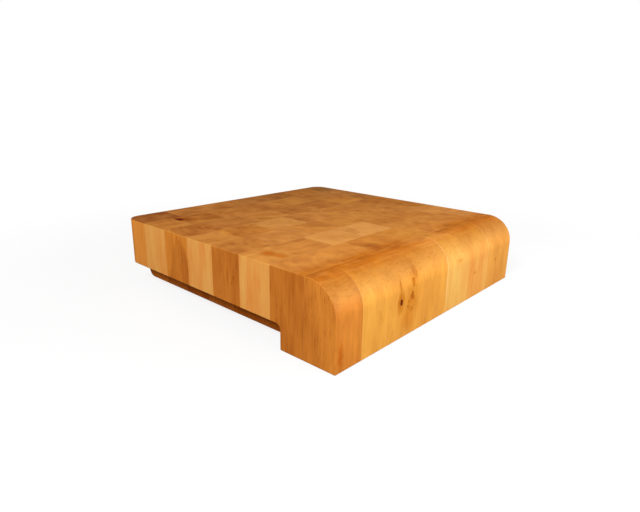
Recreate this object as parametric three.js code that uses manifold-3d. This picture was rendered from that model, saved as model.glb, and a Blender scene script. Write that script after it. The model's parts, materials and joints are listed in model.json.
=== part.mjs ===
// Butcher block cutting board with a rounded front edge and a finger grip along each side.
//
// Blocks of wood stand on end, so that the cutting surface is end grain, and are glued side by
// side. A front row of a few wide blocks carries the round nose. Behind it lie straight rows,
// each a strip of equal planks with one narrower plank at its end. Every other strip is turned
// end for end, so that the joints of neighbouring rows don't line up.
//
// The glued block is shaped as a whole, and each piece below is cut out of that finished shape.
// Millimetres, +Z up, origin in the middle of the underside, front of the board towards -Y.

import * as THREE from 'three';
import { mergeVertices } from 'three/addons/utils/BufferGeometryUtils.js';
import Module from 'manifold-3d';

// Overall size
const BOARD_WIDTH = 517;
const BOARD_DEPTH = 506;
const BOARD_HEIGHT = 120;

// Rounded and eased edges
const NOSE_RADIUS = 47; // front top edge
const HEEL_RADIUS = 16; // rear bottom edge
const REAR_CORNER_RADIUS = 25; // upright corners at the back
const EDGE_EASE = 1.5; // chamfer round the top and the underside

// Finger grips, steps cut into the underside along both sides, from the front foot to the back
const GRIP_HEIGHT = 38;
const GRIP_INSET = 38;
const GRIP_FILLET = 8; // inner corner between the grip's ceiling and the front foot
const FRONT_FOOT_DEPTH = 100;

// Rows behind the front row
const ROW_COUNT = 7;
const PLANKS_PER_ROW = 7;
const END_PLANK_WIDTH = 54; // the narrower plank at one end of each strip

// Front row, where the wide block between the first joint and the second takes what is left
const FRONT_ROW_DEPTH = 55;
const FRONT_LEFT_WIDTH = 53;
const FRONT_INNER_RIGHT_WIDTH = 148;
const FRONT_RIGHT_WIDTH = 94;

const GLUE_LINE = 0.2; // thickness of the glue between two blocks

// How finely curves are cut into facets, and how far a cutter runs past the wood
const ARC_SEGMENTS = 24;
const OVERRUN = 10;

// Oiled wood in three tones
const TONES = {
  pale: { color: 0xdc9a55, roughness: 0.5 },
  honey: { color: 0xcb8440, roughness: 0.5 },
  amber: { color: 0xb36d2c, roughness: 0.5 },
};

// Tones of the blocks from left to right, the front row first and then the rows towards the back
const FRONT_TONES = ['amber', 'honey', 'pale', 'honey'];
const ROW_TONES = [
  ['amber', 'honey', 'amber', 'pale', 'honey', 'amber', 'honey'],
  ['pale', 'honey', 'pale', 'pale', 'pale', 'honey', 'amber'],
  ['amber', 'honey', 'honey', 'pale', 'pale', 'honey', 'pale'],
  ['pale', 'amber', 'pale', 'honey', 'honey', 'honey', 'amber'],
  ['amber', 'honey', 'honey', 'honey', 'honey', 'amber', 'pale'],
  ['pale', 'honey', 'honey', 'amber', 'pale', 'honey', 'amber'],
  ['amber', 'honey', 'honey', 'honey', 'amber', 'honey', 'pale'],
];

// The board's faces
const LEFT = -BOARD_WIDTH / 2;
const RIGHT = BOARD_WIDTH / 2;
const FRONT = -BOARD_DEPTH / 2;
const REAR = BOARD_DEPTH / 2;
const TOP = BOARD_HEIGHT;

const wasm = await Module();
wasm.setup();

// Solids and geometry

function solidFrom(geometry) {
  const bare = geometry.clone();
  bare.deleteAttribute('normal');
  bare.deleteAttribute('uv');
  const merged = mergeVertices(bare);
  const mesh = new wasm.Mesh({
    numProp: 3,
    vertProperties: new Float32Array(merged.attributes.position.array),
    triVerts: new Uint32Array(merged.index.array),
  });
  return new wasm.Manifold(mesh);
}

function geometryFrom(solid) {
  const mesh = solid.getMesh();
  const geometry = new THREE.BufferGeometry();
  geometry.setAttribute('position', new THREE.BufferAttribute(mesh.vertProperties, 3));
  geometry.setIndex(new THREE.BufferAttribute(mesh.triVerts, 1));
  return geometry;
}

// A profile drawn in Y and Z, extruded along X
function extrudeAlongX(profile, fromX, toX) {
  const geometry = new THREE.ExtrudeGeometry(profile, {
    depth: toX - fromX,
    bevelEnabled: false,
    curveSegments: ARC_SEGMENTS,
  });
  geometry.rotateX(Math.PI / 2);
  geometry.rotateZ(Math.PI / 2);
  geometry.translate(fromX, 0, 0);
  return geometry;
}

// The shape of the finished board

// The outline from above, square at the front and round at the rear corners, with eased edges
function squaredBoard() {
  const radius = REAR_CORNER_RADIUS;
  const outline = new THREE.Shape();
  outline.moveTo(LEFT, FRONT);
  outline.lineTo(RIGHT, FRONT);
  outline.absarc(RIGHT - radius, REAR - radius, radius, 0, Math.PI / 2, false);
  outline.absarc(LEFT + radius, REAR - radius, radius, Math.PI / 2, Math.PI, false);
  outline.closePath();
  const geometry = new THREE.ExtrudeGeometry(outline, {
    depth: BOARD_HEIGHT - 2 * EDGE_EASE,
    bevelEnabled: true,
    bevelThickness: EDGE_EASE,
    bevelSize: EDGE_EASE,
    bevelOffset: -EDGE_EASE,
    bevelSegments: 1,
    curveSegments: ARC_SEGMENTS,
  });
  geometry.translate(0, 0, EDGE_EASE);
  return solidFrom(geometry);
}

// The wood that rounding the front top edge takes off
function noseWaste() {
  const start = TOP - NOSE_RADIUS;
  const profile = new THREE.Shape();
  profile.moveTo(FRONT - OVERRUN, TOP + OVERRUN);
  profile.lineTo(FRONT - OVERRUN, start);
  profile.lineTo(FRONT, start);
  profile.absarc(FRONT + NOSE_RADIUS, start, NOSE_RADIUS, Math.PI, Math.PI / 2, true);
  profile.lineTo(FRONT + NOSE_RADIUS, TOP + OVERRUN);
  profile.closePath();
  return solidFrom(extrudeAlongX(profile, LEFT - OVERRUN, RIGHT + OVERRUN));
}

// The wood that rounding the rear bottom edge takes off
function heelWaste() {
  const start = REAR - HEEL_RADIUS;
  const profile = new THREE.Shape();
  profile.moveTo(REAR + OVERRUN, -OVERRUN);
  profile.lineTo(REAR + OVERRUN, HEEL_RADIUS);
  profile.lineTo(REAR, HEEL_RADIUS);
  profile.absarc(start, HEEL_RADIUS, HEEL_RADIUS, 0, -Math.PI / 2, true);
  profile.lineTo(start, -OVERRUN);
  profile.closePath();
  return solidFrom(extrudeAlongX(profile, LEFT - OVERRUN, RIGHT + OVERRUN));
}

// The wood that one finger grip takes out, between two places across the board
function gripWaste(fromX, toX) {
  const start = FRONT + FRONT_FOOT_DEPTH;
  const arcTop = GRIP_HEIGHT - GRIP_FILLET;
  const profile = new THREE.Shape();
  profile.moveTo(REAR + OVERRUN, -OVERRUN);
  profile.lineTo(REAR + OVERRUN, GRIP_HEIGHT);
  profile.lineTo(start + GRIP_FILLET, GRIP_HEIGHT);
  profile.absarc(start + GRIP_FILLET, arcTop, GRIP_FILLET, Math.PI / 2, Math.PI, false);
  profile.lineTo(start, -OVERRUN);
  profile.closePath();
  return solidFrom(extrudeAlongX(profile, fromX, toX));
}

function finishedBoard() {
  const leftGrip = gripWaste(LEFT - OVERRUN, LEFT + GRIP_INSET);
  const rightGrip = gripWaste(RIGHT - GRIP_INSET, RIGHT + OVERRUN);
  const rounded = squaredBoard().subtract(noseWaste()).subtract(heelWaste());
  return rounded.subtract(leftGrip).subtract(rightGrip);
}

// Cutting the board into its blocks

// The stretches that pieces of these widths fill one after another, each short of its joints by
// half a glue line and past the board at both ends
function stretchesFrom(start, widths) {
  const last = widths.length - 1;
  let edge = start;
  return widths.map((width, index) => {
    const low = index === 0 ? edge - OVERRUN : edge + GLUE_LINE / 2;
    edge += width;
    const high = index === last ? edge + OVERRUN : edge - GLUE_LINE / 2;
    return { low, high, middle: edge - width / 2 };
  });
}

// One block, cut out of the board and centred on its own place across its row
function cutBlock(board, across, along, name, tone) {
  const cell = new THREE.BoxGeometry(
    across.high - across.low,
    along.high - along.low,
    BOARD_HEIGHT + 2 * OVERRUN,
  );
  cell.translate((across.low + across.high) / 2, (along.low + along.high) / 2, BOARD_HEIGHT / 2);
  const geometry = geometryFrom(board.intersect(solidFrom(cell)));
  geometry.translate(-across.middle, -along.middle, 0);
  const material = new THREE.MeshStandardMaterial({ ...TONES[tone], metalness: 0, flatShading: true });
  const block = new THREE.Mesh(geometry, material);
  block.name = name;
  block.position.x = across.middle;
  return block;
}

function cutRow(board, along, widths, tones, name) {
  const row = new THREE.Group();
  row.name = name;
  row.position.y = along.middle;
  stretchesFrom(LEFT, widths).forEach((across, index) => {
    const tone = tones[index % tones.length];
    row.add(cutBlock(board, across, along, `${name}_block_${index + 1}`, tone));
  });
  return row;
}

// Widths of the blocks from left to right

function frontWidths() {
  const wide = BOARD_WIDTH - FRONT_LEFT_WIDTH - FRONT_INNER_RIGHT_WIDTH - FRONT_RIGHT_WIDTH;
  return [FRONT_LEFT_WIDTH, wide, FRONT_INNER_RIGHT_WIDTH, FRONT_RIGHT_WIDTH];
}

function stripWidths(turned) {
  const plank = (BOARD_WIDTH - END_PLANK_WIDTH) / (PLANKS_PER_ROW - 1);
  const planks = new Array(PLANKS_PER_ROW - 1).fill(plank);
  return turned ? [...planks, END_PLANK_WIDTH] : [END_PLANK_WIDTH, ...planks];
}

// Assembly

const rowDepth = (BOARD_DEPTH - FRONT_ROW_DEPTH) / ROW_COUNT;
const depths = [FRONT_ROW_DEPTH, ...new Array(ROW_COUNT).fill(rowDepth)];
const board = finishedBoard();

const cuttingBoard = new THREE.Group();
cuttingBoard.name = 'butcher_block_cutting_board';
stretchesFrom(FRONT, depths).forEach((along, row) => {
  if (row === 0) {
    cuttingBoard.add(cutRow(board, along, frontWidths(), FRONT_TONES, 'front'));
  } else {
    const turned = row % 2 === 1;
    const tones = ROW_TONES[(row - 1) % ROW_TONES.length];
    cuttingBoard.add(cutRow(board, along, stripWidths(turned), tones, `row_${row}`));
  }
});

export default cuttingBoard;
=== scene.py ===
# %% [markdown]
# A butcher block cutting board. It is a thick block of oiled wood, glued up from upright pieces so
# that the cutting surface is end grain. The construction comes in as a fixed frame: one plain
# solid for each wooden block. This lesson shapes the same block again in Blender with fine rounded
# edges, saws it into its pieces, and gives every piece wood that runs through it from top to bottom.

# %% Load the construction
import json
import math
import random

import bpy
from mathutils import Matrix, Vector


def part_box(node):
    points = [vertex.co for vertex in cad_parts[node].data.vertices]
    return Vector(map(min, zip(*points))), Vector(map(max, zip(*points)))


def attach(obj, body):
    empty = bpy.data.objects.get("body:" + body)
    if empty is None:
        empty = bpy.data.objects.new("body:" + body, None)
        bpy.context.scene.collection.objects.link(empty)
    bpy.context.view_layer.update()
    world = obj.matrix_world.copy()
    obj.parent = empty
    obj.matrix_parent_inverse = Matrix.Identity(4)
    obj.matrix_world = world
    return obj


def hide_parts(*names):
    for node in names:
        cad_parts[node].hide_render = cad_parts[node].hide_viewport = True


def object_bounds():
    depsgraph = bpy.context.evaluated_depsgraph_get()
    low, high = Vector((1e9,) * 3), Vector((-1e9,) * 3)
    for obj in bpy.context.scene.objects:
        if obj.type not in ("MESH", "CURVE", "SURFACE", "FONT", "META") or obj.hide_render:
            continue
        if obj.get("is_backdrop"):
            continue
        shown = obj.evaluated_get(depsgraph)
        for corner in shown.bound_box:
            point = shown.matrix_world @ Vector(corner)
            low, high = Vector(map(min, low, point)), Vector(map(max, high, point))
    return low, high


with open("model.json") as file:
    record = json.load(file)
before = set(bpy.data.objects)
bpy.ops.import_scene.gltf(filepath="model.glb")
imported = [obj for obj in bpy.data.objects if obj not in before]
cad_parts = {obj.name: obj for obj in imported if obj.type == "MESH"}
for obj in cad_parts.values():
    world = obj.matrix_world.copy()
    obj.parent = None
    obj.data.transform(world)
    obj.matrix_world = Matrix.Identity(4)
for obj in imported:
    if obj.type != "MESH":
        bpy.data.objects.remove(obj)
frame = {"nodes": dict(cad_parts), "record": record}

cad_low, cad_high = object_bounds()
left, front, bottom = cad_low
right, rear, top = cad_high
print("construction box in metres:", [round(side, 4) for side in cad_high - cad_low])

# %% [markdown]
# Four small habits are used all the way through. One selects a single piece and nothing else,
# because operators act on all that is selected. One adds a box at its real size and place, with
# its object left at the origin. One rounds the edges whose two ends pass a test of place, and one
# adds a modifier and applies it at once.

# %% Working habits
NEAR = 1e-5


def pick(piece):
    bpy.ops.object.select_all(action="DESELECT")
    piece.select_set(True)
    bpy.context.view_layer.objects.active = piece


def add_box(name, low, high):
    bpy.ops.object.select_all(action="DESELECT")
    bpy.ops.mesh.primitive_cube_add(size=1, location=(low + high) / 2, scale=high - low)
    bpy.ops.object.transform_apply(location=True, rotation=True, scale=True)
    box = bpy.context.object
    box.name = name
    return box


def round_edges(piece, radius, segments, wanted):
    pick(piece)
    bpy.ops.object.mode_set(mode="EDIT")
    bpy.ops.mesh.select_mode(type="EDGE")
    bpy.ops.mesh.select_all(action="DESELECT")
    bpy.ops.object.mode_set(mode="OBJECT")
    points = piece.data.vertices
    for edge in piece.data.edges:
        edge.select = all(wanted(points[end].co) for end in edge.vertices)
    bpy.ops.object.mode_set(mode="EDIT")
    bpy.ops.mesh.bevel(offset=radius, segments=segments, profile=0.5, clamp_overlap=False)
    bpy.ops.object.mode_set(mode="OBJECT")


def apply_modifier(piece, kind, **settings):
    pick(piece)
    modifier = piece.modifiers.new(kind.lower(), kind)
    for name, value in settings.items():
        setattr(modifier, name, value)
    bpy.ops.object.modifier_apply(modifier=modifier.name)


# %% [markdown]
# The glued block starts as a box. On the real board a large round-over turns the front top edge
# into a nose, and the two rear corners are rounded. A bevel with many segments and a circular
# profile gives the same quarter rounds, and keeps the flats between them in one face each.

# %% The squared block with its nose and rear corners
NOSE_RADIUS = 0.047
NOSE_SEGMENTS = 40
REAR_CORNER_RADIUS = 0.025
CORNER_SEGMENTS = 20

board = add_box("board", cad_low, cad_high)
round_edges(board, NOSE_RADIUS, NOSE_SEGMENTS, lambda p: p.y < front + NEAR and p.z > top - NEAR)
round_edges(board, REAR_CORNER_RADIUS, CORNER_SEGMENTS, lambda p: p.x < left + NEAR and p.y > rear - NEAR)
round_edges(board, REAR_CORNER_RADIUS, CORNER_SEGMENTS, lambda p: p.x > right - NEAR and p.y > rear - NEAR)
print("squared block:", len(board.data.polygons), "faces")

# %% [markdown]
# The finger grips are steps milled into the underside along both sides. They start behind the
# front foot with a round inner corner, as the cutter leaves it, and run out through the back. A
# box with that one edge rounded is the cutter, and a Boolean modifier takes its shape away. The
# lower rear edge, the heel, is rounded afterwards, so that it stops at the grips.

# %% The finger grips and the heel
GRIP_HEIGHT = 0.038
GRIP_INSET = 0.038
GRIP_FILLET = 0.008
FILLET_SEGMENTS = 10
FRONT_FOOT_DEPTH = 0.1
HEEL_RADIUS = 0.016
HEEL_SEGMENTS = 14
OVERRUN = 0.01


def mill_grip(inner, outer):
    low = Vector((min(inner, outer), front + FRONT_FOOT_DEPTH, bottom - OVERRUN))
    high = Vector((max(inner, outer), rear + OVERRUN, bottom + GRIP_HEIGHT))
    cutter = add_box("grip_cutter", low, high)
    round_edges(
        cutter, GRIP_FILLET, FILLET_SEGMENTS, lambda p: p.y < low.y + NEAR and p.z > high.z - NEAR,
    )
    apply_modifier(board, "BOOLEAN", operation="DIFFERENCE", solver="EXACT", object=cutter)
    bpy.data.objects.remove(cutter)


mill_grip(left + GRIP_INSET, left - OVERRUN)
mill_grip(right - GRIP_INSET, right + OVERRUN)
round_edges(board, HEEL_RADIUS, HEEL_SEGMENTS, lambda p: p.y > rear - NEAR and p.z < bottom + NEAR)
print("milled block:", len(board.data.polygons), "faces")

# %% [markdown]
# Nobody leaves the edges of a board sharp. A Bevel modifier that works by angle eases every edge
# that is still square by about a millimetre, and leaves the fine facets of the big rounds alone.

# %% Ease every sharp edge
EDGE_EASE = 0.0014
EASE_SEGMENTS = 3
SHARP = math.radians(40)
SAME_POINT = 1e-6

apply_modifier(
    board, "BEVEL", width=EDGE_EASE, segments=EASE_SEGMENTS, limit_method="ANGLE", angle_limit=SHARP,
)
bpy.ops.object.mode_set(mode="EDIT")
bpy.ops.mesh.select_all(action="SELECT")
bpy.ops.mesh.remove_doubles(threshold=SAME_POINT)
bpy.ops.mesh.normals_make_consistent(inside=False)
bpy.ops.object.mode_set(mode="OBJECT")
print("eased block:", len(board.data.polygons), "faces")

# %% [markdown]
# Sawing. Every block of wood is a copy of the whole shape, cut by a bisecting plane at each of
# its glue joints, with the cut face filled. The frame's node boxes say where the joints are. The
# outer faces, the nose and the grips come along by themselves, so all pieces line up exactly.

# %% Saw the shape into blocks
def saw_out(name, low, high):
    pick(board)
    bpy.ops.object.duplicate(linked=False)
    piece = bpy.context.object
    piece.name = name
    bpy.ops.object.mode_set(mode="EDIT")
    for axis in (0, 1):
        for place, outer, sign in ((low, cad_low, -1), (high, cad_high, 1)):
            if abs(place[axis] - outer[axis]) < NEAR:
                continue
            normal = Vector((0, 0, 0))
            normal[axis] = sign
            bpy.ops.mesh.select_all(action="SELECT")
            bpy.ops.mesh.bisect(plane_co=place, plane_no=normal, use_fill=True, clear_outer=True)
    bpy.ops.mesh.select_all(action="SELECT")
    bpy.ops.mesh.normals_make_consistent(inside=False)
    bpy.ops.object.mode_set(mode="OBJECT")
    return piece


blocks = {}
for node in sorted(frame["nodes"]):
    blocks[node] = saw_out(node + "_wood", *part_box(node))
print(len(blocks), "blocks sawn")

# %% [markdown]
# Between the blocks lies a film of set glue, a fifth of a millimetre thick and flush with the
# wood. It is cut from the same shape: one thin slice across the whole board behind each row, and
# short slices between the blocks of a row, joined into one piece.

# %% The glue lines
def row_of(node):
    return node.rsplit("_block_", 1)[0]


def row_boxes(row):
    boxes = [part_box(node) for node in blocks if row_of(node) == row]
    return sorted(boxes, key=lambda box: box[0].x)


films = []
row_names = sorted({row_of(node) for node in blocks}, key=lambda row: row_boxes(row)[0][0].y)
for row, next_row in zip(row_names, [*row_names[1:], None]):
    boxes = row_boxes(row)
    row_front, row_rear = boxes[0][0].y, boxes[0][1].y
    for before, after in zip(boxes, boxes[1:]):
        low = Vector((before[1].x, row_front, bottom))
        high = Vector((after[0].x, row_rear, top))
        films.append(saw_out(row + "_film", low, high))
    if next_row:
        low = Vector((left, row_rear, bottom))
        high = Vector((right, row_boxes(next_row)[0][0].y, top))
        films.append(saw_out(row + "_film", low, high))
bpy.data.objects.remove(board)
pick(films[0])
for film in films:
    film.select_set(True)
bpy.ops.object.join()
glue_lines = bpy.context.object
glue_lines.name = "glue_lines"
print(len(films), "glue films,", len(glue_lines.data.polygons), "faces")

# %% [markdown]
# Knots are where branches grew. A dead branch leaves a dark plug that often falls out and leaves a
# small pit. The board has two such pits: one in the front and one on top. A ball that is squeezed
# to the pit's size and shaken a little gives an uneven mouth when it is cut away. Sizes and places
# of all marks in the wood are in millimetres from here on, because wood grain is fine.

# %% The two open knots
MILLIMETRES = 1000
FRONT_KNOT = Vector((-115.0, -253.0, 57.5))
FRONT_PIT = (2.7, 2.6, 4.7)
FRONT_PIT_TILT = 16
TOP_KNOT = Vector((-198.8, 172.0, 120.0))
TOP_PIT = (4.2, 7.2, 4.0)
PIT_SHAKE = 0.15


def open_knot(node, place, half_size, tilt, seed):
    bpy.ops.object.select_all(action="DESELECT")
    half_size = Vector(half_size) / MILLIMETRES
    bpy.ops.mesh.primitive_ico_sphere_add(subdivisions=2, location=place / MILLIMETRES, scale=half_size)
    pit = bpy.context.object
    pit.rotation_euler.y = math.radians(tilt)
    bpy.ops.object.transform_apply(location=True, rotation=True, scale=True)
    bpy.ops.object.mode_set(mode="EDIT")
    shake = half_size.x * PIT_SHAKE
    bpy.ops.transform.vertex_random(offset=shake, uniform=1.0, normal=0.0, seed=seed)
    bpy.ops.mesh.subdivide(number_cuts=1, smoothness=1.0)
    bpy.ops.object.mode_set(mode="OBJECT")
    apply_modifier(blocks[node], "BOOLEAN", operation="DIFFERENCE", solver="EXACT", object=pit)
    bpy.data.objects.remove(pit)
    print(node, "knot opened,", len(blocks[node].data.polygons), "faces")


open_knot("front_block_2", FRONT_KNOT, FRONT_PIT, tilt=FRONT_PIT_TILT, seed=3)
open_knot("row_6_block_2", TOP_KNOT, TOP_PIT, tilt=0, seed=8)

# %% [markdown]
# Smooth shading follows the rounds and stops at the sawn edges. A Weighted Normal modifier lets
# the large flats keep their own direction, so that the narrow eased edges don't bend their light.

# %% Shading
for piece in [*blocks.values(), glue_lines]:
    pick(piece)
    bpy.ops.object.shade_smooth_by_angle(angle=SHARP)
    apply_modifier(piece, "WEIGHTED_NORMAL", mode="FACE_AREA", weight=100, keep_sharp=True)
print(len(blocks) + 1, "pieces shaded")

# %% [markdown]
# Each block came from its own plank, so each has its own place in a tree. Values that belong to
# one block are stored on its mesh as attributes that every point shares: where the middle of its
# trunk was and how the trunk leaned, how wide a year's growth is, where the pale sapwood begins
# and how much darker the heartwood is, over how many millimetres the one blurs into the other,
# whether its sides and its end grain are a little paler (above zero) or darker, whether its colour
# is more rosy or more yellow, and how far its end grain is dimmed as painted shade. The darker end
# grain of the rear blocks is partly painted shade, for the light that falls off towards the back,
# and the extra rosy blue of the blocks at the right edge is partly a painted sheen. Blocks that
# show best are listed one by one, and the rest set by seeded chance.

# %% Each block's place in its tree
GRAIN = {
    "front_block_1": {
        "trunk": (-225, -138, 0.09), "sapwood": 96, "heart": 0.12, "side": -0.09, "end": -0.12,
        "rosy_and_sheen": 0.2,
    },
    "front_block_2": {
        "trunk": (-60, -112, 0.08), "sapwood": 188, "heart": 0.25, "blur": 16, "side": 0.22, "end": 0.2,
        "rosy_and_sheen": -0.15,
    },
    "front_block_3": {
        "trunk": (196, -150, 0.03), "sapwood": 150, "heart": 0.26, "blur": 5, "side": 0.12, "end": 0.06,
        "rosy_and_sheen": -0.4,
    },
    "front_block_4": {"trunk": (205, -130, 0.06), "sapwood": 150, "side": 0.09, "end": 0.15, "rosy_and_sheen": 0.55},
    "row_1_block_1": {"trunk": (-178, -188, 0.03), "sapwood": 120, "side": -0.07, "end": 0.32, "rosy_and_sheen": 0.2},
    "row_1_block_2": {"end": 0.15},
    "row_1_block_3": {"end": -0.05},
    "row_1_block_4": {"end": 0.1, "rosy_and_sheen": -0.6},
    "row_1_block_5": {"end": 0.05, "rosy_and_sheen": -0.2},
    "row_1_block_6": {"end": -0.1, "rosy_and_sheen": 0.3},
    "row_1_block_7": {"end": 0.35, "rosy_and_sheen": 0.7},
    "row_2_block_1": {"trunk": (-236, -12, 0.0), "sapwood": 20, "side": -0.22, "end": 0.15},
    "row_2_block_2": {"end": 0.1},
    "row_2_block_3": {"end": 0.4, "rosy_and_sheen": 0.4},
    "row_2_block_4": {"end": 0.5, "rosy_and_sheen": 0.6},
    "row_2_block_7": {"end": 0.1, "rosy_and_sheen": 0.8},
    "row_3_block_1": {"trunk": (-182, -48, -0.05), "sapwood": 100, "side": -0.07, "end": 0.1},
    "row_3_block_2": {"end": 0.1, "rosy_and_sheen": 0.4},
    "row_3_block_3": {"end": 0.1},
    "row_4_block_1": {"trunk": (-240, 132, 0.0), "sapwood": 20, "side": -0.17, "rosy_and_sheen": -0.05},
    "row_4_block_2": {"end": 0.1},
    "row_4_block_3": {"end": 0.2, "rosy_and_sheen": 0.4},
    "row_5_block_1": {
        "trunk": (-185.5, 86, 0.09), "sapwood": 82.3, "heart": 0.4, "blur": 1.2, "side": -0.02, "end": 0.0,
        "rosy_and_sheen": 0.0,
    },
    "row_5_block_2": {"end": -0.3, "rosy_and_sheen": 0.2},
    "row_5_block_7": {"end": -0.05, "rosy_and_sheen": 0.9, "dim": 0.05},
    "row_6_block_1": {"trunk": (-228, 44, 0.0), "sapwood": 20, "side": -0.17, "end": -0.25, "rosy_and_sheen": -0.15},
    "row_6_block_2": {"end": -0.2, "rosy_and_sheen": -0.4},
    "row_6_block_3": {"end": -0.2},
    "row_6_block_6": {"end": 0.1},
    "row_6_block_7": {"end": -0.1, "rosy_and_sheen": 0.9, "dim": 0.06},
    "row_7_block_1": {
        "trunk": (-168, 276, 0.0), "sapwood": 60, "side": 0.2, "end": -0.6, "rosy_and_sheen": 0.85, "dim": 0.08,
    },
    "row_7_block_2": {"end": -0.3, "rosy_and_sheen": 0.3},
    "row_7_block_3": {"end": -0.2, "rosy_and_sheen": 0.3},
    "row_7_block_4": {"end": -0.4, "rosy_and_sheen": 0.6},
    "row_7_block_5": {"end": -0.2, "rosy_and_sheen": 0.0, "dim": 0.19},
    "row_7_block_7": {"end": -0.15, "rosy_and_sheen": 0.5, "dim": 0.3},
}
# Painted shade: the rear row's end grain is darker, for the light that falls off towards the back.
REAR_ROW_SHADE = {"end": -0.2}
TRUNK_DISTANCES = (50, 120)
LARGEST_LEAN = 0.04
SAPWOOD_SHIFTS = (-70, 40)
YEAR_WIDTHS = (3.2, 5.2)
USUAL_HEART = 0.3
USUAL_BLUR = 7.0
ROSY_SPREAD = 0.3


def grain_of(node, chance):
    low, high = (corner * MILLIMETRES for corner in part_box(node))
    middle = (low + high) / 2
    turn = chance.uniform(0, 2 * math.pi)
    away = chance.uniform(*TRUNK_DISTANCES)
    lean = chance.uniform(-LARGEST_LEAN, LARGEST_LEAN)
    grain = {
        "trunk": (middle.x + away * math.cos(turn), middle.y + away * math.sin(turn), lean),
        "sapwood": away + chance.uniform(*SAPWOOD_SHIFTS),
        "ring": chance.uniform(*YEAR_WIDTHS),
        "heart": USUAL_HEART,
        "blur": USUAL_BLUR,
        "side": 0.0,
        "end": 0.0,
        "dim": 0.0,
    }
    if row_of(node) == "row_7":
        grain.update(REAR_ROW_SHADE)
    grain.update(GRAIN.get(node, {}))
    return grain


def store(piece, name, values):
    layer = piece.data.attributes.new(name, "FLOAT_VECTOR", "POINT")
    layer.data.foreach_set("vector", list(values) * len(piece.data.vertices))


for node, block in blocks.items():
    chance = random.Random(node)
    grain = grain_of(node, chance)
    store(block, "trunk", grain["trunk"])
    store(block, "growth", (grain["ring"], grain["sapwood"], grain["heart"]))
    store(block, "nature", (chance.random(), grain["side"], grain["end"]))
    # For the blocks at the right edge the rosy value also stands for a painted sheen on their end grain.
    rosy_and_sheen = grain.get("rosy_and_sheen", chance.uniform(-ROSY_SPREAD, ROSY_SPREAD))
    store(block, "character", (rosy_and_sheen, grain["blur"], grain["dim"]))
print(len(GRAIN), "blocks set by hand,", len(blocks) - len(GRAIN), "by chance")

# %% [markdown]
# The joints of each block are stored too, so that the wood beside a glue line can differ a little.
# An outer face of the board is no joint: its place is put far away.

# %% Where each block's joints are
FAR = 10000.0


def joint_places(node):
    low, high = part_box(node)
    ends = zip(low, high, cad_low, cad_high)
    pairs = [
        (
            -FAR if start < outer_start + NEAR else start * MILLIMETRES,
            FAR if end > outer_end - NEAR else end * MILLIMETRES,
        )
        for start, end, outer_start, outer_end in ends
    ]
    return [pair[0] for pair in pairs], [pair[1] for pair in pairs]


for node, block in blocks.items():
    joint_low, joint_high = joint_places(node)
    store(block, "joint_low", joint_low)
    store(block, "joint_high", joint_high)

# %% [markdown]
# Some joints show as a pale line, where glue sealed the wood before it was oiled. Each block has
# three strengths for its joints: at its left, at its right and at its front. The joints that
# stand out are listed one by one, and the others get a faint line by chance.

# %% Pale lines at the joints
PALE_JOINTS = {
    "front_block_1": (0.0, 0.03, 0.0),
    "front_block_2": (0.0, 0.6, 0.0),
    "front_block_3": (0.7, 0.35, 0.0),
    "front_block_4": (0.35, 0.0, 0.0),
    "row_1_block_1": (0.0, 0.1, 0.7),
    "row_1_block_2": (0.1, 0.1, 0.3),
    "row_2_block_3": (0.1, 0.1, 0.4),
    "row_2_block_4": (0.1, 0.1, 0.3),
}
FAINT_LINE = 0.35

for node, block in blocks.items():
    chance = random.Random(node + " joints")
    by_chance = [chance.uniform(0, FAINT_LINE) for side in ("left", "right", "front")]
    store(block, "pale_joints", PALE_JOINTS.get(node, by_chance))
print(len(PALE_JOINTS), "blocks with joints set by hand")

# %% [markdown]
# Marks in the wood: knots, the stain round them, and streaks. Each is an egg-shaped region with a
# place, half sizes and a darkness. A darkness of one is a dead knot, nearly black. In between lie
# live knots and scars, which are brown with a darker rim. A darkness of zero leaves only an orange
# glow, as where a branch passes just under the surface, and below zero that glow is fainter. The
# tall thin marks are the broken scar that rises from the second knot of the front, and the smallest
# ones are flecks in the right half of the front and on the left side.

# %% Knots and stains
MARKS = {
    "front_block_2": [
        (FRONT_KNOT, (3.3, 14, 5.4), 1.0),
        ((-88, -253, 50), (8.5, 24, 12), 0.89),
        ((-87, -253, 61), (3.4, 24, 7.5), 0.9),
        ((-85, -252, 80), (4.0, 24, 7), 0.7),
        ((-78, -248, 94), (4.5, 24, 7), 0.55),
        ((-118, -252.5, 82), (1.4, 24, 7), 0.5),
        ((-100, -253, 26), (17, 24, 20), -0.6),
    ],
    "front_block_1": [((-249, -253, 24), (5.5, 20, 22), 0.0)],
    "front_block_3": [((57.5, -253, 81), (5, 10, 1.6), 0.4), ((117.5, -253, 46), (3, 10, 1.6), 0.4)],
    "front_block_4": [((198, -253, 52.5), (2.2, 10, 2.2), 0.4)],
    "row_6_block_2": [(TOP_KNOT, (7.0, 10.5, 9), 1.0)],
    "row_2_block_1": [((-226, -97, 120), (12, 16, 20), 0.0), ((-222, -115, 120), (11, 16, 20), -0.2)],
    "row_5_block_1": [((-258.5, 86, 106.4), (6, 1.8, 1.5), 0.8)],
    "row_3_block_1": [((-258.5, -56, 81), (5, 1.2, 1.6), 0.7), ((-258.5, -50.4, 72), (5, 1.1, 1.5), 0.7)],
}
NO_MARK = ((FAR, FAR, FAR), (1, 1, 1), 0.0)
MARKS_PER_BLOCK = max(len(marks) for marks in MARKS.values())

for node, block in blocks.items():
    found = [*MARKS.get(node, []), *[NO_MARK] * MARKS_PER_BLOCK][:MARKS_PER_BLOCK]
    for number, (place, half_size, darkness) in enumerate(found, 1):
        store(block, f"mark_{number}_place", place)
        store(block, f"mark_{number}_size", half_size)
        store(block, f"mark_{number}_darkness", (darkness, 0, 0))
print(sum(len(marks) for marks in MARKS.values()), "knots and stains placed")

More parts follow.
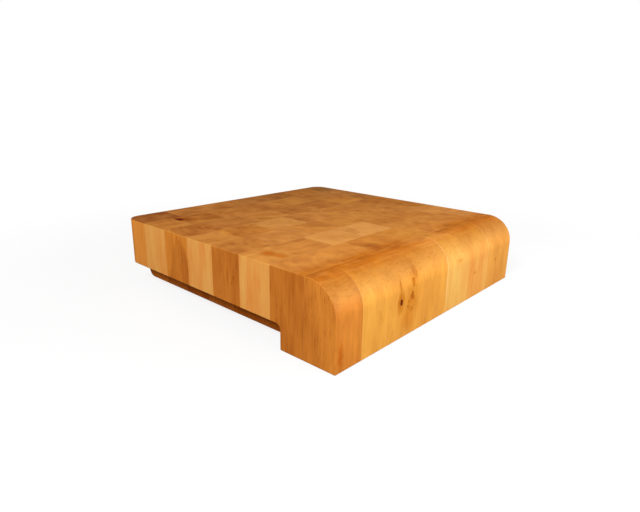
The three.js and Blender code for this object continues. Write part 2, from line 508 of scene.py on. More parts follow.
# %% [markdown]
# Materials are built from nodes. A short recipe writer keeps that readable: each call adds one
# node, feeds it sockets or plain values, and hands back its result for the next call. A noise is
# told how long its spots are in X, Y and Z. Its values lie round one half, so that middle is taken
# off before a share of it is added.

# %% A recipe writer for nodes
NOISE_MIDDLE = 0.5


class Recipe:
    def __init__(self, tree):
        self.tree = tree

    def feed(self, socket, value):
        if isinstance(value, bpy.types.NodeSocket):
            self.tree.links.new(value, socket)
        else:
            socket.default_value = value

    def node(self, kind, inputs=(), **settings):
        made = self.tree.nodes.new(kind)
        for name, value in settings.items():
            setattr(made, name, value)
        for name, value in dict(inputs).items():
            self.feed(made.inputs[name], value)
        return made

    def group(self, name, inputs):
        return self.node("ShaderNodeGroup", inputs, node_tree=bpy.data.node_groups[name]).outputs

    def math(self, operation, *values, clamp=False):
        made = self.node("ShaderNodeMath", enumerate(values), operation=operation, use_clamp=clamp)
        return made.outputs[0]

    def limit(self, value, lowest, highest):
        return self.math("MINIMUM", self.math("MAXIMUM", value, lowest), highest)

    def add_share(self, total, value, share, middle=0.0):
        shifted = self.math("SUBTRACT", value, middle) if middle else value
        return self.math("MULTIPLY_ADD", shifted, share, total)

    def vector(self, operation, *values):
        made = self.node("ShaderNodeVectorMath", enumerate(values), operation=operation)
        return made.outputs["Value" if operation == "LENGTH" else "Vector"]

    def parts(self, vector):
        return self.node("ShaderNodeSeparateXYZ", {"Vector": vector}).outputs

    def step(self, value, start, end, low=0.0, high=1.0):
        inputs = {"Value": value, "From Min": start, "From Max": end, "To Min": low, "To Max": high}
        return self.node("ShaderNodeMapRange", inputs, interpolation_type="SMOOTHSTEP").outputs["Result"]

    def noise(self, place, size, detail=2.0, roughness=0.5):
        scaled = self.vector("DIVIDE", place, size)
        inputs = {"Vector": scaled, "Scale": 1.0, "Detail": detail, "Roughness": roughness}
        return self.node("ShaderNodeTexNoise", inputs).outputs["Fac"]

    def mix(self, share, first, second, blend="MIX", clamp=True):
        made = self.node("ShaderNodeMix", data_type="RGBA", blend_type=blend, clamp_factor=clamp)
        self.feed(made.inputs[0], share)
        self.feed(made.inputs[6], first)
        self.feed(made.inputs[7], second)
        return made.outputs[2]


def start_group(name, inputs, outputs):
    tree = bpy.data.node_groups.new(name, "ShaderNodeTree")
    for direction, sockets in (("INPUT", inputs), ("OUTPUT", outputs)):
        for socket, kind in sockets.items():
            tree.interface.new_socket(socket, in_out=direction, socket_type="NodeSocket" + kind)
    given = tree.nodes.new("NodeGroupInput").outputs
    result = tree.nodes.new("NodeGroupOutput").inputs
    return Recipe(tree), given, result


# %% [markdown]
# A knot. A dead one is dark inside its egg-shaped region, and a live one is brown with a stronger
# rim. Around a knot lies a stain that is drawn out along the trunk, and the growth rings swerve to
# pass it. Noise frays the edge, of scars more than of dead knots and glows, and makes tall marks
# wander from side to side. It is the same for all the marks of a block, so it comes in from outside.

# %% Knots
DEAD_FROM = 0.9
GLOW_BELOW = 0.01
WANDER = 0.4
SCAR_FRAY = 2.0
CALMER_FRAY = -1.1

recipe, given, result = start_group(
    "knot",
    {
        "Place": "Vector", "Middle": "Vector", "Half Size": "Vector", "Darkness": "Vector",
        "Bends": "Float", "Fray": "Float", "Wisps": "Float",
    },
    {"Core": "Float", "Stain": "Float", "Glow": "Float", "Swerve": "Float"},
)
darkness = recipe.parts(given["Darkness"])["X"]
dead = recipe.math("GREATER_THAN", darkness, DEAD_FROM)
live = recipe.math("SUBTRACT", 1.0, dead)
no_knot = recipe.math("LESS_THAN", darkness, GLOW_BELOW)
tallness = recipe.parts(given["Half Size"])["Z"]
wander = recipe.math("MULTIPLY", given["Bends"], recipe.math("MULTIPLY", tallness, WANDER))
shift = recipe.node("ShaderNodeCombineXYZ", {"X": wander}).outputs["Vector"]
offset = recipe.vector("SUBTRACT", recipe.vector("ADD", given["Place"], shift), given["Middle"])
offset = recipe.vector("DIVIDE", offset, given["Half Size"])
calm = recipe.math("MAXIMUM", dead, no_knot)
fraying = recipe.math("MULTIPLY_ADD", calm, CALMER_FRAY, SCAR_FRAY)
frayed = recipe.math("MULTIPLY", given["Fray"], fraying)
near = recipe.math("ADD", frayed, recipe.vector("LENGTH", offset))
inside = recipe.step(near, 0.65, 1.1, 1.0, 0.0)
recipe.feed(result["Core"], recipe.math("MULTIPLY", inside, dead))

# %% [markdown]
# A live knot or a scar is brown, most of all at its rim, and a narrow one is filled. Round every
# knot lies a wider stain, the halo. Where there is no knot, only the orange glow is left. The
# swerve tells the growth rings how far to bend.

# %% Rim, halo, glow and swerve
DRAWN_OUT = (0.65, 1.0, 0.55)
DEAD_HALO = 0.4
HALO = 0.28
WIDEST_SWERVE = 7.0

inner_edge = recipe.step(near, 0.6, 0.85)
outer_edge = recipe.step(near, 1.0, 1.25, 1.0, 0.0)
rim = recipe.math("MULTIPLY", inner_edge, outer_edge)
rim = recipe.math("MULTIPLY", rim, recipe.step(given["Wisps"], -0.1, 0.1, 0.5, 1.4))
filled = recipe.step(recipe.parts(given["Half Size"])["X"], 3.5, 6.0, 1.0, 0.4)
brown = recipe.math("MAXIMUM", rim, recipe.math("MULTIPLY", inside, filled))
brown = recipe.math("MULTIPLY", brown, recipe.math("MULTIPLY", darkness, live))
brown = recipe.limit(brown, 0.0, 1.0)
drawn_out = recipe.vector("LENGTH", recipe.vector("MULTIPLY", offset, DRAWN_OUT))
drawn_out = recipe.math("MULTIPLY_ADD", given["Wisps"], 2.0, drawn_out)
around = recipe.step(drawn_out, 0.3, 2.4, 1.0, 0.0)
halo_strength = recipe.add_share(recipe.math("MULTIPLY", dead, DEAD_HALO), darkness, HALO)
halo_strength = recipe.math("MAXIMUM", halo_strength, 0.0)
halo = recipe.math("MULTIPLY", around, halo_strength)
recipe.feed(result["Stain"], recipe.math("MAXIMUM", brown, halo))
glow = recipe.math("MULTIPLY", recipe.step(near, 0.3, 1.25, 1.0, 0.0), no_knot)
recipe.feed(result["Glow"], recipe.math("MULTIPLY", glow, recipe.math("ADD", darkness, 1.0)))
widest_bend = recipe.math("MINIMUM", recipe.math("MULTIPLY", tallness, 0.8), WIDEST_SWERVE)
bend = recipe.math("MULTIPLY", recipe.math("MAXIMUM", darkness, 0.0), widest_bend)
recipe.feed(result["Swerve"], recipe.math("MULTIPLY", around, bend))
print("knot:", len(recipe.tree.nodes), "nodes")

# %% [markdown]
# Growth rings. A trunk grows one ring a year, pale in spring and dark in late summer. Seen in
# space they are nested tubes round the trunk's middle: cut across they show as arcs on the top
# of a block, and cut along they show as upright lines or flames on its sides. Good and bad years
# come in runs, which show as broader bands. The inner part of the trunk, the heartwood, is darker
# than the young sapwood outside it.

# %% Growth rings
RING_SHIFT = (370.0, 530.0, 710.0)
WAVES = (45.0, 45.0, 260.0)
RIPPLES = (9.0, 9.0, 80.0)
PATCHES = (16.0, 16.0, 50.0)
BAND_WIDTH = 12.0
HEART_EDGE = (7.0, 7.0, 60.0)
SEED_STEP = 97.0

recipe, given, result = start_group(
    "growth_rings",
    {
        "Place": "Vector", "Trunk": "Vector", "Growth": "Vector",
        "Blur": "Float", "Chance": "Float", "Swerve": "Float",
    },
    {"Late Wood": "Float", "Band": "Float", "Heartwood": "Float"},
)
shifted = recipe.vector("MULTIPLY_ADD", given["Chance"], RING_SHIFT, given["Place"])
growth = recipe.parts(given["Growth"])
from_trunk = recipe.vector("SUBTRACT", given["Place"], given["Trunk"])
level = recipe.vector("LENGTH", recipe.vector("MULTIPLY", from_trunk, (1.0, 1.0, 0.0)))
lean = recipe.parts(given["Trunk"])["Z"]
height = recipe.parts(given["Place"])["Z"]
reach = recipe.math("MULTIPLY_ADD", height, lean, level)
reach = recipe.add_share(reach, recipe.noise(shifted, WAVES), 10.0, NOISE_MIDDLE)
reach = recipe.add_share(reach, recipe.noise(shifted, RIPPLES), 3.0, NOISE_MIDDLE)
reach = recipe.math("ADD", reach, given["Swerve"])
turns = recipe.math("DIVIDE", reach, growth["X"])
part = recipe.math("FRACT", turns)
darkening = recipe.step(part, 0.3, 0.9)
ending = recipe.step(part, 0.9, 1.0, 1.0, 0.0)
year_number = recipe.math("MULTIPLY_ADD", given["Chance"], SEED_STEP, recipe.math("FLOOR", turns))
year_noise = recipe.node("ShaderNodeTexWhiteNoise", {"W": year_number}, noise_dimensions="1D")
year = year_noise.outputs["Value"]
ring = recipe.math("MULTIPLY", darkening, ending)
ring = recipe.math("MULTIPLY", ring, recipe.math("MULTIPLY_ADD", year, 0.8, 0.2))
patchy = recipe.step(recipe.noise(shifted, PATCHES), 0.35, 0.65, 0.2, 1.0)
recipe.feed(result["Late Wood"], recipe.math("MULTIPLY", ring, patchy))
band_place = recipe.math("DIVIDE", reach, BAND_WIDTH)
band_number = recipe.math("MULTIPLY_ADD", given["Chance"], SEED_STEP, band_place)
band_inputs = {"W": band_number, "Scale": 1.0, "Detail": 2.0, "Roughness": 0.6}
bands = recipe.node("ShaderNodeTexNoise", band_inputs, noise_dimensions="1D").outputs["Fac"]
recipe.feed(result["Band"], bands)
past_heart = recipe.math("DIVIDE", recipe.math("SUBTRACT", reach, growth["Y"]), given["Blur"])
past_heart = recipe.add_share(past_heart, recipe.noise(shifted, HEART_EDGE, 3.0), 1.3, NOISE_MIDDLE)
recipe.feed(result["Heartwood"], recipe.step(past_heart, -1.1, 0.9, 1.0, 0.0))
print("growth rings:", len(recipe.tree.nodes), "nodes")

# %% [markdown]
# Fibres. Wood cells are long tubes that stand upright here. Noise that is stretched along the
# trunk gives fine hairs, short dashes, long threads where dashes are few, broader streaks and soft
# clouds. Cut across on the top the same noise turns into pores, speckle and blotches, because it is
# one pattern in space.

# %% Fibres
FIBRE_SHIFT = (610.0, 290.0, 430.0)
HAIRS = (0.8, 0.8, 24.0)
DASHES = (2.2, 2.2, 15.0)
CROWDS = (34.0, 34.0, 70.0)
THREADS = (2.4, 2.4, 45.0)
STREAKS = (6.0, 6.0, 90.0)
BLOTCHES = (20.0, 20.0, 80.0)
CLOUDS = (26.0, 26.0, 80.0)

recipe, given, result = start_group(
    "wood_fibres",
    {"Place": "Vector", "Chance": "Float"},
    {
        "Hair": "Float", "Dash": "Float", "Thread": "Float",
        "Streak": "Float", "Blotch": "Float", "Cloud": "Float",
    },
)
shifted = recipe.vector("MULTIPLY_ADD", given["Chance"], FIBRE_SHIFT, given["Place"])
recipe.feed(result["Hair"], recipe.noise(shifted, HAIRS, 3.0, 0.6))
dashes = recipe.noise(shifted, DASHES, 1.0)
crowds = recipe.step(recipe.noise(shifted, CROWDS), 0.42, 0.6)
recipe.feed(result["Dash"], recipe.math("MULTIPLY", recipe.step(dashes, 0.58, 0.72), crowds))
threads = recipe.noise(shifted, THREADS, 2.0)
quiet = recipe.math("SUBTRACT", 1.0, crowds)
recipe.feed(result["Thread"], recipe.math("MULTIPLY", recipe.step(threads, 0.56, 0.7), quiet))
recipe.feed(result["Streak"], recipe.noise(shifted, STREAKS, 2.0, 0.55))
blotches = recipe.noise(shifted, BLOTCHES, 1.5, 0.5)
recipe.feed(result["Blotch"], recipe.step(blotches, 0.46, 0.72))
recipe.feed(result["Cloud"], recipe.noise(shifted, CLOUDS, 2.0, 0.5))
print("fibres:", len(recipe.tree.nodes), "nodes")

# %% [markdown]
# Three kinds of places were changed by the maker's tools. The cutter that rounded the nose scorched
# the end grain where its round ends, in reddish streaks along the front row, and tore out small
# chips on the slope of the nose. And the grips and the underside were left as milled and drank more
# oil, which makes them darker and redder than the sanded faces; their dark red is also painted shade
# for where the board overhangs them, and a painted contact shadow makes them darkest close to the
# ground.

# %% Places that tools have changed, and painted shade under the board
SCORCH_RISE = (-250.0, -208.0)
SCORCH_FALL = (-200.0, -168.0)
SCORCH_GAP = 30.0
SCORCH_STREAKS = (55.0, 5.0, 20.0)
SCORCH_CONTRAST = 2.2
GRIP_EDGE = (239.0, 241.0)
CHIPS = (9.0, 3.0, 3.0)

recipe, given, result = start_group(
    "tool_marks",
    {"Place": "Vector", "Normal": "Vector"},
    {"Scorched": "Float", "Milled And Shaded": "Float", "Torn": "Float"},
)
spot = recipe.parts(given["Place"])
facing = recipe.parts(given["Normal"])
before_joint = recipe.step(spot["Y"], *SCORCH_RISE)
behind_joint = recipe.step(spot["Y"], *SCORCH_FALL, 1.0, 0.0)
from_gap = recipe.math("ABSOLUTE", recipe.math("SUBTRACT", spot["X"], SCORCH_GAP))
along = recipe.step(from_gap, 5.0, 100.0, 0.1, 0.8)
streaks = recipe.noise(given["Place"], SCORCH_STREAKS, 3.0)
strength = recipe.add_share(along, streaks, SCORCH_CONTRAST, NOISE_MIDDLE)
band = recipe.math("MULTIPLY", before_joint, behind_joint)
on_top = recipe.math("MULTIPLY", band, recipe.step(facing["Z"], 0.3, 0.8))
recipe.feed(result["Scorched"], recipe.math("MULTIPLY", on_top, strength, clamp=True))
underneath = recipe.step(facing["Z"], -0.8, -0.3, 1.0, 0.0)
sideways = recipe.step(recipe.math("ABSOLUTE", facing["X"]), 0.3, 0.8)
inside_grip = recipe.step(recipe.math("ABSOLUTE", spot["X"]), *GRIP_EDGE, 1.0, 0.0)
grip_wall = recipe.math("MULTIPLY", sideways, inside_grip)
recipe.feed(result["Milled And Shaded"], recipe.math("MAXIMUM", underneath, grip_wall))
leaning_up = recipe.step(facing["Z"], 0.2, 0.6)
not_level = recipe.step(facing["Z"], 0.9, 0.99, 1.0, 0.0)
slope = recipe.math("MULTIPLY", leaning_up, not_level)
on_nose = recipe.math("MULTIPLY", slope, recipe.step(facing["Y"], -0.3, -0.1, 1.0, 0.0))
chips = recipe.step(recipe.noise(given["Place"], CHIPS, 2.0), 0.5, 0.7)
recipe.feed(result["Torn"], recipe.math("MULTIPLY", chips, on_nose))
print("tool marks:", len(recipe.tree.nodes), "nodes")

# %% [markdown]
# The wood itself. Side faces show long grain and the top shows end grain, which drinks more oil
# and looks darker and more even. The surface normal says which is which, so the colour changes
# gently over the round nose, where the fibres are cut at a slant. All the patterns add up to one
# tone between a dark and a pale colour, and may run a little past both. The block's own hue, the
# pale joints, the tool marks and the knots are laid over it in turn. One group does it all, in
# short steps, and this first one lists what it is told about a block.

# %% What the oiled wood is told
MARK_NUMBERS = range(1, MARKS_PER_BLOCK + 1)
MARK_FACTS = [
    f"Mark {number} {fact}" for number in MARK_NUMBERS for fact in ("Place", "Size", "Darkness")
]
BLOCK_FACTS = [
    "Trunk", "Growth", "Nature", "Character", "Joint Low", "Joint High", "Pale Joints", *MARK_FACTS,
]
COLOURS = ["Pale", "Dark", "End Pale", "End Dark"]

recipe, given, result = start_group(
    "oiled_wood",
    {
        **{fact: "Vector" for fact in ["Place", "Normal", *BLOCK_FACTS]},
        **{colour: "Color" for colour in COLOURS},
    },
    {"Color": "Color", "Roughness": "Float", "Height": "Float"},
)
place = recipe.vector("MULTIPLY", given["Place"], (MILLIMETRES,) * 3)
nature = recipe.parts(given["Nature"])
character = recipe.parts(given["Character"])

# %% [markdown]
# Every mark of a block is one knot group, and where marks overlap the strongest counts. The rings
# are then bent by the strongest swerve, and the fibres run beside them.

# %% Marks, rings and fibres
BENDS = (400.0, 400.0, 9.0)
FRAY = (2.5, 2.5, 6.0)
WISPS = (4.0, 4.0, 22.0)

bends = recipe.math("SUBTRACT", recipe.noise(place, BENDS), NOISE_MIDDLE)
fray = recipe.math("SUBTRACT", recipe.noise(place, FRAY), NOISE_MIDDLE)
wisps = recipe.math("SUBTRACT", recipe.noise(place, WISPS), NOISE_MIDDLE)
core = stain = glow = swerve = 0.0
for number in MARK_NUMBERS:
    knot = recipe.group("knot", {
        "Place": place,
        "Bends": bends,
        "Fray": fray,
        "Wisps": wisps,
        "Middle": given[f"Mark {number} Place"],
        "Half Size": given[f"Mark {number} Size"],
        "Darkness": given[f"Mark {number} Darkness"],
    })
    core = recipe.math("MAXIMUM", core, knot["Core"])
    stain = recipe.math("MAXIMUM", stain, knot["Stain"])
    glow = recipe.math("MAXIMUM", glow, knot["Glow"])
    swerve = recipe.math("MAXIMUM", swerve, knot["Swerve"])
rings = recipe.group("growth_rings", {
    "Place": place,
    "Trunk": given["Trunk"],
    "Growth": given["Growth"],
    "Blur": character["Y"],
    "Chance": nature["X"],
    "Swerve": swerve,
})
fibres = recipe.group("wood_fibres", {"Place": place, "Chance": nature["X"]})

# %% [markdown]
# From patterns to tones. Each pattern has a share in the tone: above zero it can pale and darken
# the wood, and below zero it only darkens it. Long grain shows streaks, threads and dashes. End
# grain shows rings, bands and blotches, which grow fainter down the slope of the nose.

# %% Tones of long grain and end grain
MIDDLE_TONE = 0.68
END_LIFT = 0.04
TONE_LIMITS = (-0.2, 1.2)

upward = recipe.math("ABSOLUTE", recipe.parts(given["Normal"])["Z"])
end_grain = recipe.step(upward, 0.05, 0.85)
tone = recipe.add_share(MIDDLE_TONE, fibres["Cloud"], 0.8, NOISE_MIDDLE)
tone = recipe.add_share(tone, fibres["Hair"], 0.42, NOISE_MIDDLE)
heart_share = recipe.math("MULTIPLY", rings["Heartwood"], recipe.parts(given["Growth"])["Z"])
tone = recipe.math("SUBTRACT", tone, heart_share)
long_tone = recipe.add_share(tone, fibres["Streak"], 0.5, NOISE_MIDDLE)
long_tone = recipe.add_share(long_tone, rings["Band"], 0.25, NOISE_MIDDLE)
long_tone = recipe.add_share(long_tone, rings["Late Wood"], -0.08)
long_tone = recipe.add_share(long_tone, fibres["Thread"], -0.22)
long_tone = recipe.add_share(long_tone, fibres["Dash"], -0.24)
long_tone = recipe.limit(recipe.math("ADD", long_tone, nature["Y"]), *TONE_LIMITS)
end_tone = recipe.add_share(tone, fibres["Streak"], 0.15, NOISE_MIDDLE)
end_tone = recipe.add_share(end_tone, rings["Late Wood"], -0.18)
end_pattern = recipe.math("MULTIPLY", fibres["Blotch"], -0.12)
end_pattern = recipe.add_share(end_pattern, rings["Band"], 0.5, NOISE_MIDDLE)
end_pattern = recipe.add_share(end_pattern, fibres["Cloud"], 0.5, NOISE_MIDDLE)
flat = recipe.step(upward, 0.85, 1.0, 0.35, 1.0)
end_tone = recipe.math("MULTIPLY_ADD", end_pattern, flat, end_tone)
end_tone = recipe.math("ADD", end_tone, recipe.math("ADD", nature["Z"], END_LIFT))
end_tone = recipe.limit(end_tone, *TONE_LIMITS)

# %% [markdown]
# From tones to colours. A rosy block has more blue and a little more green in its colour; on the
# blocks at the right edge this extra blue is partly a painted sheen. Where the fibres are cut at a
# slant, on the nose and the eased edges, the wood is a shade deeper and less red.

# %% Colours
ROSY_AND_SHEEN_GREEN = 0.05
ROSY_AND_SHEEN_BLUE = 0.35
SLANTED_TINT = (0.91, 1.01, 0.93, 1.0)

long_colour = recipe.mix(long_tone, given["Dark"], given["Pale"], clamp=False)
end_colour = recipe.mix(end_tone, given["End Dark"], given["End Pale"], clamp=False)
# Painted shade: the end grain of some blocks at the back and the right is dimmed for the light that falls
# off there.
end_colour = recipe.vector("MULTIPLY", end_colour, recipe.math("SUBTRACT", 1.0, character["Z"]))
colour = recipe.mix(end_grain, long_colour, end_colour)
green = recipe.math("MULTIPLY_ADD", character["X"], ROSY_AND_SHEEN_GREEN, 1.0)
blue = recipe.math("MULTIPLY_ADD", character["X"], ROSY_AND_SHEEN_BLUE, 1.0)
hue = recipe.node("ShaderNodeCombineXYZ", {"X": 1.0, "Y": green, "Z": blue}).outputs["Vector"]
colour = recipe.vector("MULTIPLY", colour, hue)
not_upright = recipe.step(upward, 0.2, 0.7)
not_level = recipe.step(upward, 0.85, 1.0, 1.0, 0.0)
slanted = recipe.math("MULTIPLY", not_upright, not_level)
colour = recipe.mix(slanted, colour, SLANTED_TINT, blend="MULTIPLY")

# %% [markdown]
# The pale lines at the joints are about a millimetre wide and worn away in places. The joint at a
# block's front shows only on the end grain.

# %% Pale joints
LINE_EDGE = (0.6, 2.0)
WORN = (14.0, 14.0, 40.0)
SEALED_SIDE = (1.0, 0.64, 0.24, 1.0)
SEALED_END = (0.75, 0.37, 0.12, 1.0)

to_low = recipe.parts(recipe.vector("SUBTRACT", place, given["Joint Low"]))
to_high = recipe.parts(recipe.vector("SUBTRACT", given["Joint High"], place))
pale_joints = recipe.parts(given["Pale Joints"])
front_line = recipe.math("MULTIPLY", pale_joints["Z"], end_grain)
lines = [
    (to_low["X"], pale_joints["X"]),
    (to_high["X"], pale_joints["Y"]),
    (to_low["Y"], front_line),
]
sealed = 0.0
for distance, strength in lines:
    beside = recipe.step(distance, *LINE_EDGE, 1.0, 0.0)
    sealed = recipe.math("MAXIMUM", sealed, recipe.math("MULTIPLY", beside, strength))
worn = recipe.step(recipe.noise(place, WORN), 0.3, 0.6)
sealed = recipe.math("MULTIPLY", sealed, worn)
colour = recipe.mix(sealed, colour, recipe.mix(end_grain, SEALED_SIDE, SEALED_END))

# %% [markdown]
# Last come the tool marks and the knots. Scorched, torn and glowing wood keeps its grain, so these
# tints are multiplied with it. Milled wood takes its own two colours, mixed by the same tone; they
# are partly the darker oiled milled wood and partly painted shade under the board and in the grips,
# and near the ground a painted contact shadow darkens them further. A stain works like a dye: twice
# as much of it takes away the light twice over, so the colour is multiplied by a power of the brown.

# %% Tool marks, painted shade, knots and roughness
SCORCH_TINT = (0.85, 0.63, 0.12, 1.0)
MILLED_SHADED_DARK = (0.55, 0.1, 0.002, 1.0)
MILLED_SHADED_PALE = (0.95, 0.235, 0.009, 1.0)
MILLED_SHADE_SHARE = 0.9
CONTACT_SHADE_HEIGHTS = (1.0, 13.0)
CONTACT_SHADE_LEVEL = 0.72
TORN_TINT = (0.96, 0.84, 0.6, 1.0)
GLOW_TINT = (0.88, 0.62, 0.24, 1.0)
STAIN_BROWN = (0.6, 0.36, 0.07)
DEAD_KNOT = (0.12, 0.01, 0.0008, 1.0)
SMOOTHEST = 0.44
ROUGHER_HAIRS = 0.16
ROUGHER_END_GRAIN = 0.08
ROUGHER_KNOT = 0.4

tools = recipe.group("tool_marks", {"Place": place, "Normal": given["Normal"]})
colour = recipe.mix(tools["Scorched"], colour, SCORCH_TINT, blend="MULTIPLY")
# Painted shade: milled wood under the board and in the grips takes a dark red colour, partly for its oil
# and partly for the shade there.
milled_shade = recipe.mix(long_tone, MILLED_SHADED_DARK, MILLED_SHADED_PALE)
# Painted contact shadow: the milled wood is darker within the lowest 13 millimetres, darkest at the ground.
contact_shade = recipe.step(recipe.parts(place)["Z"], *CONTACT_SHADE_HEIGHTS, CONTACT_SHADE_LEVEL, 1.0)
milled_shade = recipe.vector("MULTIPLY", milled_shade, contact_shade)
colour = recipe.mix(recipe.math("MULTIPLY", tools["Milled And Shaded"], MILLED_SHADE_SHARE), colour, milled_shade)
colour = recipe.mix(tools["Torn"], colour, TORN_TINT, blend="MULTIPLY")
colour = recipe.mix(glow, colour, GLOW_TINT, blend="MULTIPLY")
colour = recipe.vector("MULTIPLY", colour, recipe.vector("POWER", STAIN_BROWN, stain))
colour = recipe.mix(core, colour, DEAD_KNOT)
recipe.feed(result["Color"], colour)
rough = recipe.math("MULTIPLY_ADD", fibres["Hair"], ROUGHER_HAIRS, SMOOTHEST)
rough = recipe.add_share(rough, end_grain, ROUGHER_END_GRAIN)
recipe.feed(result["Roughness"], recipe.add_share(rough, core, ROUGHER_KNOT))
recipe.feed(result["Height"], fibres["Hair"])
print("oiled wood:", len(recipe.tree.nodes), "nodes")

# %% [markdown]
# The three tones of the board differ only in colour, so one function makes them all. The facts
# that were stored on each block come in through Attribute nodes, and the place and the normal in
# the object's own coordinates, so the wood stays put when the board is turned.

# %% Three tones of wood
WOOD_COLOURS = {
    "pale_wood": {
        "Pale": (0.85, 0.495, 0.126), "Dark": (0.75, 0.208, 0.03),
        "End Pale": (0.65, 0.264, 0.051), "End Dark": (0.415, 0.128, 0.0167),
    },
    "honey_wood": {
        "Pale": (0.92, 0.43, 0.068), "Dark": (0.58, 0.186, 0.0195),
        "End Pale": (0.638, 0.245, 0.0445), "End Dark": (0.385, 0.117, 0.0163),
    },
    "amber_wood": {
        "Pale": (0.85, 0.3, 0.036), "Dark": (0.43, 0.108, 0.008),
        "End Pale": (0.667, 0.255, 0.0425), "End Dark": (0.37, 0.106, 0.0144),
    },
}
SHINE = 0.15
BUMP_STRENGTH = 0.25
BUMP_HEIGHT = 0.0002


def wood_material(name, colours):
    material = bpy.data.materials.new(name)
    material.use_nodes = True
    recipe = Recipe(material.node_tree)
    shader = material.node_tree.nodes["Principled BSDF"]
    shader.inputs["Specular IOR Level"].default_value = SHINE
    coordinates = recipe.node("ShaderNodeTexCoord").outputs
    inputs = {"Place": coordinates["Object"], "Normal": coordinates["Normal"]}
    for fact in BLOCK_FACTS:
        attribute = fact.lower().replace(" ", "_")
        inputs[fact] = recipe.node("ShaderNodeAttribute", attribute_name=attribute).outputs["Vector"]
    for socket, colour in colours.items():
        inputs[socket] = (*colour, 1.0)
    wood = recipe.group("oiled_wood", inputs)
    relief = {"Height": wood["Height"], "Strength": BUMP_STRENGTH, "Distance": BUMP_HEIGHT}
    bump = recipe.node("ShaderNodeBump", relief)
    recipe.feed(shader.inputs["Base Color"], wood["Color"])
    recipe.feed(shader.inputs["Roughness"], wood["Roughness"])
    recipe.feed(shader.inputs["Normal"], bump.outputs["Normal"])
    return material


woods = {name: wood_material(name, colours) for name, colours in WOOD_COLOURS.items()}
print("wood finishes:", ", ".join(woods))

# %% [markdown]
# Set wood glue is a clear yellowish brown, a little cloudy, and shinier than the wood beside it.

# %% Glue
GLUE_DARK = (0.42, 0.17, 0.045, 1.0)
GLUE_PALE = (0.7, 0.36, 0.12, 1.0)
GLUE_CLOUDS = (0.006, 0.006, 0.02)

glue = bpy.data.materials.new("set_glue")
glue.use_nodes = True
recipe = Recipe(glue.node_tree)
shader = glue.node_tree.nodes["Principled BSDF"]
place = recipe.node("ShaderNodeTexCoord").outputs["Object"]
cloud = recipe.noise(place, GLUE_CLOUDS)
colour = recipe.mix(cloud, GLUE_DARK, GLUE_PALE)
recipe.feed(shader.inputs["Base Color"], colour)
recipe.feed(shader.inputs["Roughness"], recipe.math("MULTIPLY_ADD", cloud, 0.2, 0.3))

# %% [markdown]
# Every piece gets its material, rides on the board's one body, and stands for its plain solid.
# The record says which of the three tones each block has.

# %% Hand every piece its finish and its place in the frame
slot_of = {part["node"]: part["material_slot"] for part in frame["record"]["subparts"]}
for node, block in blocks.items():
    block.data.materials.clear()
    block.data.materials.append(woods[slot_of[node]])
    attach(block, "root")
    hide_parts(node)
glue_lines.data.materials.clear()
glue_lines.data.materials.append(glue)
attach(glue_lines, "root")

# %% [markdown]
# The floor is a sheet of white paper. Paper far from the board glows a little, so that it melts
# into the white backdrop. Light that bounces off it onto the wood is held back, as a studio does
# with dark cards, so that the finger grips stay in shade.

# %% Floor
PAPER_WHITE = 0.88
CARD_GREY = 0.15
FLOOR_RADIUS = 12
FLOOR_DROP = 0.0003
FADE_START = 0.35
FADE_END = 1.0
NEAR_GLOW = 0.82

bpy.ops.object.select_all(action="DESELECT")
middle = (0, 0, -FLOOR_DROP)
bpy.ops.mesh.primitive_circle_add(vertices=96, radius=FLOOR_RADIUS, fill_type="NGON", location=middle)
bpy.ops.object.transform_apply(location=True, rotation=True, scale=True)
floor = bpy.context.object
floor.name = "floor"
paper = bpy.data.materials.new("white_paper")
paper.use_nodes = True
recipe = Recipe(paper.node_tree)
shader = paper.node_tree.nodes["Principled BSDF"]
seen = recipe.node("ShaderNodeLightPath").outputs["Is Camera Ray"]
distance = recipe.vector("LENGTH", recipe.node("ShaderNodeTexCoord").outputs["Object"])
glowing = recipe.step(distance, FADE_START, FADE_END, NEAR_GLOW, 1.0)
fade = recipe.math("MULTIPLY", glowing, seen)
white = recipe.mix(seen, (CARD_GREY,) * 3 + (1.0,), (PAPER_WHITE,) * 3 + (1.0,))
recipe.feed(shader.inputs["Base Color"], recipe.mix(fade, white, (0, 0, 0, 1)))
recipe.feed(shader.inputs["Emission Color"], fade)
shader.inputs["Emission Strength"].default_value = 1.0
shader.inputs["Roughness"].default_value = 0.9
shader.inputs["Specular IOR Level"].default_value = 0.0
floor.data.materials.append(paper)
floor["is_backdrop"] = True

# %% [markdown]
# Light. A soft box stands high on the left for the left side and the top. A wide strip lies close
# to the front edge, so that the top grows dimmer towards the back. Two weak fills on the right and
# behind keep the far sides from going black, and the room adds a faint even light.

# %% Light
ROOM_LIGHT = 0.08
AIM = Vector((0, 0, 0.06))

scene = bpy.context.scene
scene.view_settings.view_transform = "Standard"
scene.world = bpy.data.worlds.new("studio")
scene.world.use_nodes = True
recipe = Recipe(scene.world.node_tree)
backdrop = scene.world.node_tree.nodes["Background"]
backdrop.inputs["Color"].default_value = (1, 1, 1, 1)
seen = recipe.node("ShaderNodeLightPath").outputs["Is Camera Ray"]
recipe.feed(backdrop.inputs["Strength"], recipe.step(seen, 0.0, 1.0, ROOM_LIGHT, 1.0))


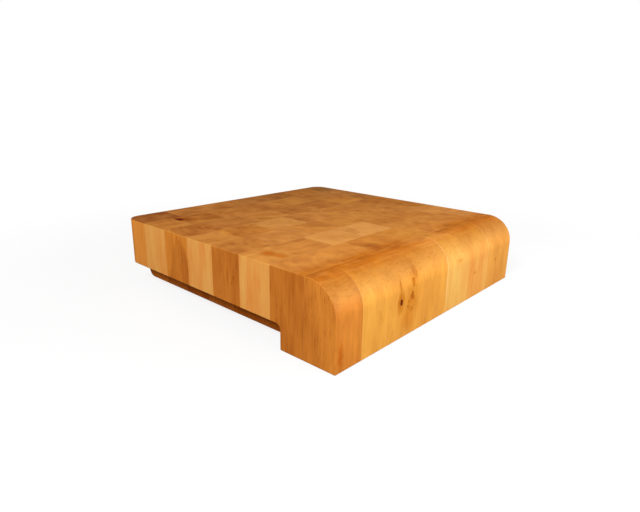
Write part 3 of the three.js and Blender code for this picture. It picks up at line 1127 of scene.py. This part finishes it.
def soft_box(name, place, width, height, power, shines=True):
    direction = AIM - Vector(place)
    turn = direction.to_track_quat("-Z", "Y").to_euler()
    bpy.ops.object.light_add(type="AREA", location=place, rotation=turn)
    lamp = bpy.context.object
    lamp.name = name
    lamp.data.shape = "RECTANGLE"
    lamp.data.size = width
    lamp.data.size_y = height
    lamp.data.energy = power
    lamp.visible_camera = False
    lamp.visible_glossy = shines


soft_box("front_strip", (0.14, -0.81, 0.41), width=1.3, height=0.45, power=7.7)
soft_box("left_soft_box", (-1.78, -0.48, 1.6), width=0.9, height=0.9, power=54)
soft_box("right_fill", (2.27, 0.2, 0.38), width=0.7, height=0.7, power=14, shines=False)
soft_box("rear_fill", (0.2, 2.27, 0.38), width=0.7, height=0.7, power=14, shines=False)

# %% [markdown]
# The camera stands where the photograph was taken from. Its direction is given as a compass angle
# round the board, a height above the horizon and a slight tilt, and its lens as a focal length in
# pixels of the photograph.

# %% Camera
CAMERA_PLACE = (-0.6909, -0.6130, 0.3324)
AZIMUTH = math.radians(-48.0428)
ELEVATION = math.radians(17.2527)
ROLL = math.radians(0.9892)
PHOTO_WIDTH = 640
FOCAL_PIXELS = 506.89
SENSOR_WIDTH = 36.0

level = Vector((math.sin(AZIMUTH), -math.cos(AZIMUTH), 0))
back = level * math.cos(ELEVATION) + Vector((0, 0, math.sin(ELEVATION)))
level_right = Vector((0, 0, 1)).cross(back).normalized()
level_up = back.cross(level_right)
camera_right = math.cos(ROLL) * level_right + math.sin(ROLL) * level_up
camera_up = math.cos(ROLL) * level_up - math.sin(ROLL) * level_right
bpy.ops.object.camera_add()
camera = bpy.context.object
camera.data.sensor_width = SENSOR_WIDTH
camera.data.lens = FOCAL_PIXELS / PHOTO_WIDTH * SENSOR_WIDTH
turned = Matrix((camera_right, camera_up, back)).transposed().to_4x4()
camera.matrix_world = Matrix.Translation(CAMERA_PLACE) @ turned
scene.camera = camera
print("lens in millimetres:", round(camera.data.lens, 2))

# %% [markdown]
# Last, the box of the dressed board is measured; the finish must not change the board's size.

# %% Sizes and finish
low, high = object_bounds()
